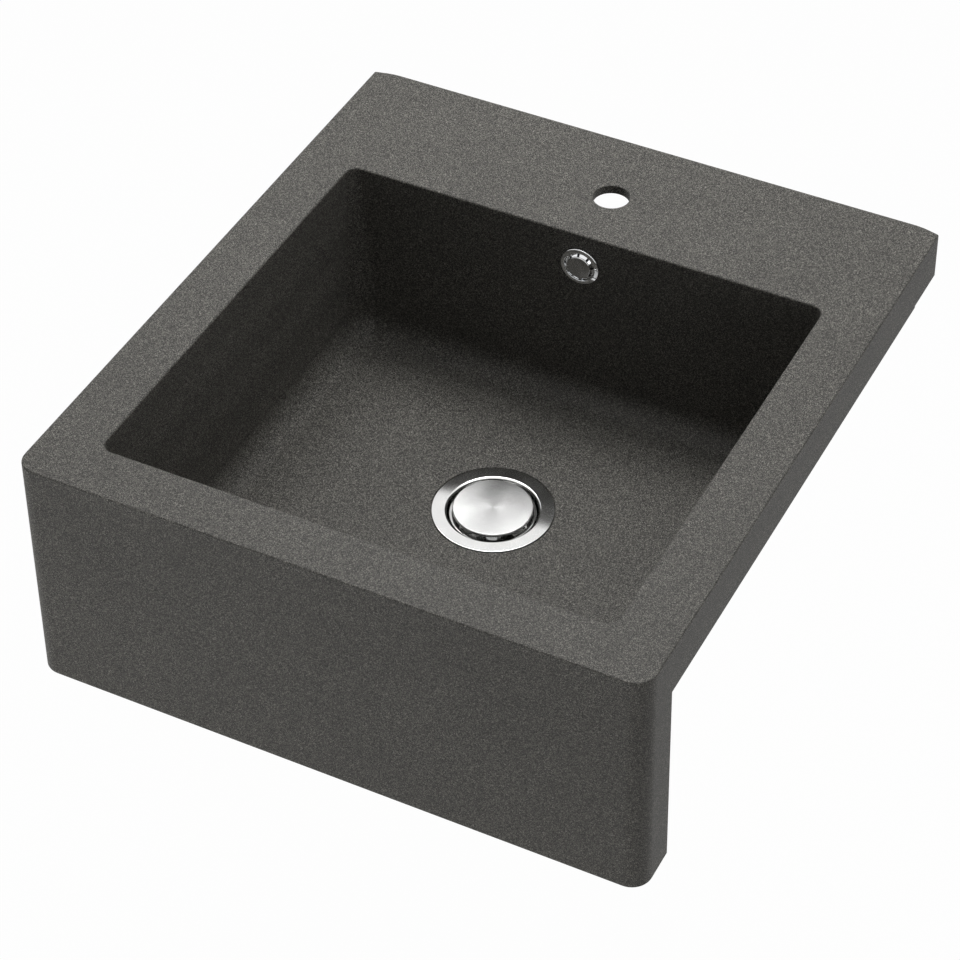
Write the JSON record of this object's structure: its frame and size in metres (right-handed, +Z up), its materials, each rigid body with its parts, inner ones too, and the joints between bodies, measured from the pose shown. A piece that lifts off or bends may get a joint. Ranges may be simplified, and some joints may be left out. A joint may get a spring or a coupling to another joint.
{
  "type": "apron-front sink",
  "caption": "Deep kitchen sink with a tall front apron, a tap deck with a hole, a lift-out strainer basket under a round cover, and an overflow piped to its waste.",
  "frame": {"origin": "centre of the tap hole on the deck's top face", "axes": "+X to the right seen from the front, +Y to the wall behind the sink, +Z up along the tap hole"},
  "size_m": [0.6, 0.656, 0.285],
  "materials": {
    "quartz_composite": "matte, fine speckle",
    "cup_steel": "polished to satin",
    "basket_steel": "satin",
    "cover_steel": "brushed in circles",
    "screw_steel": "bright",
    "stem_chrome": "polished",
    "overflow_chrome": "polished",
    "brass": "turned",
    "rubber": "matte",
    "seal_rubber": "matte",
    "waste_plastic": "satin",
    "hose_plastic": "satin",
    "black_plastic": "matte"
  },
  "bodies": {
    "root": {"sink_casting": "quartz_composite", "flange_gasket": "rubber", "strainer_cup": "cup_steel", "body_gasket": "rubber", "waste_body": "waste_plastic", "insert_nut": "brass", "fixing_screw": "screw_steel", "screw_washer": "rubber", "rim_gasket": "rubber", "overflow_ring": "overflow_chrome", "overflow_button": "overflow_chrome", "overflow_screw": "screw_steel", "rear_gasket": "rubber", "overflow_elbow": "waste_plastic", "elbow_insert": "brass", "overflow_hose": "hose_plastic", "upper_hose_nut": "waste_plastic", "lower_hose_nut": "waste_plastic", "upper_cone_washer": "rubber", "lower_cone_washer": "rubber"},
    "basket": {"strainer_basket": "basket_steel", "basket_stem": "stem_chrome", "basket_seal": "seal_rubber", "seal_washer": "screw_steel", "stem_clip": "screw_steel", "stem_ring": "seal_rubber"},
    "cover": {"drain_cover": "cover_steel", "cover_hub": "black_plastic"}
  },
  "joints": [
    {"name": "basket_lift", "type": "slide", "parent": "root", "child": "basket", "axis": [0, 0, 1], "range_m": [-0.0055, 0.08]},
    {"name": "cover_lift", "type": "slide", "parent": "basket", "child": "cover", "axis": [0, 0, 1], "range_m": [0, 0.05]}
  ]
}
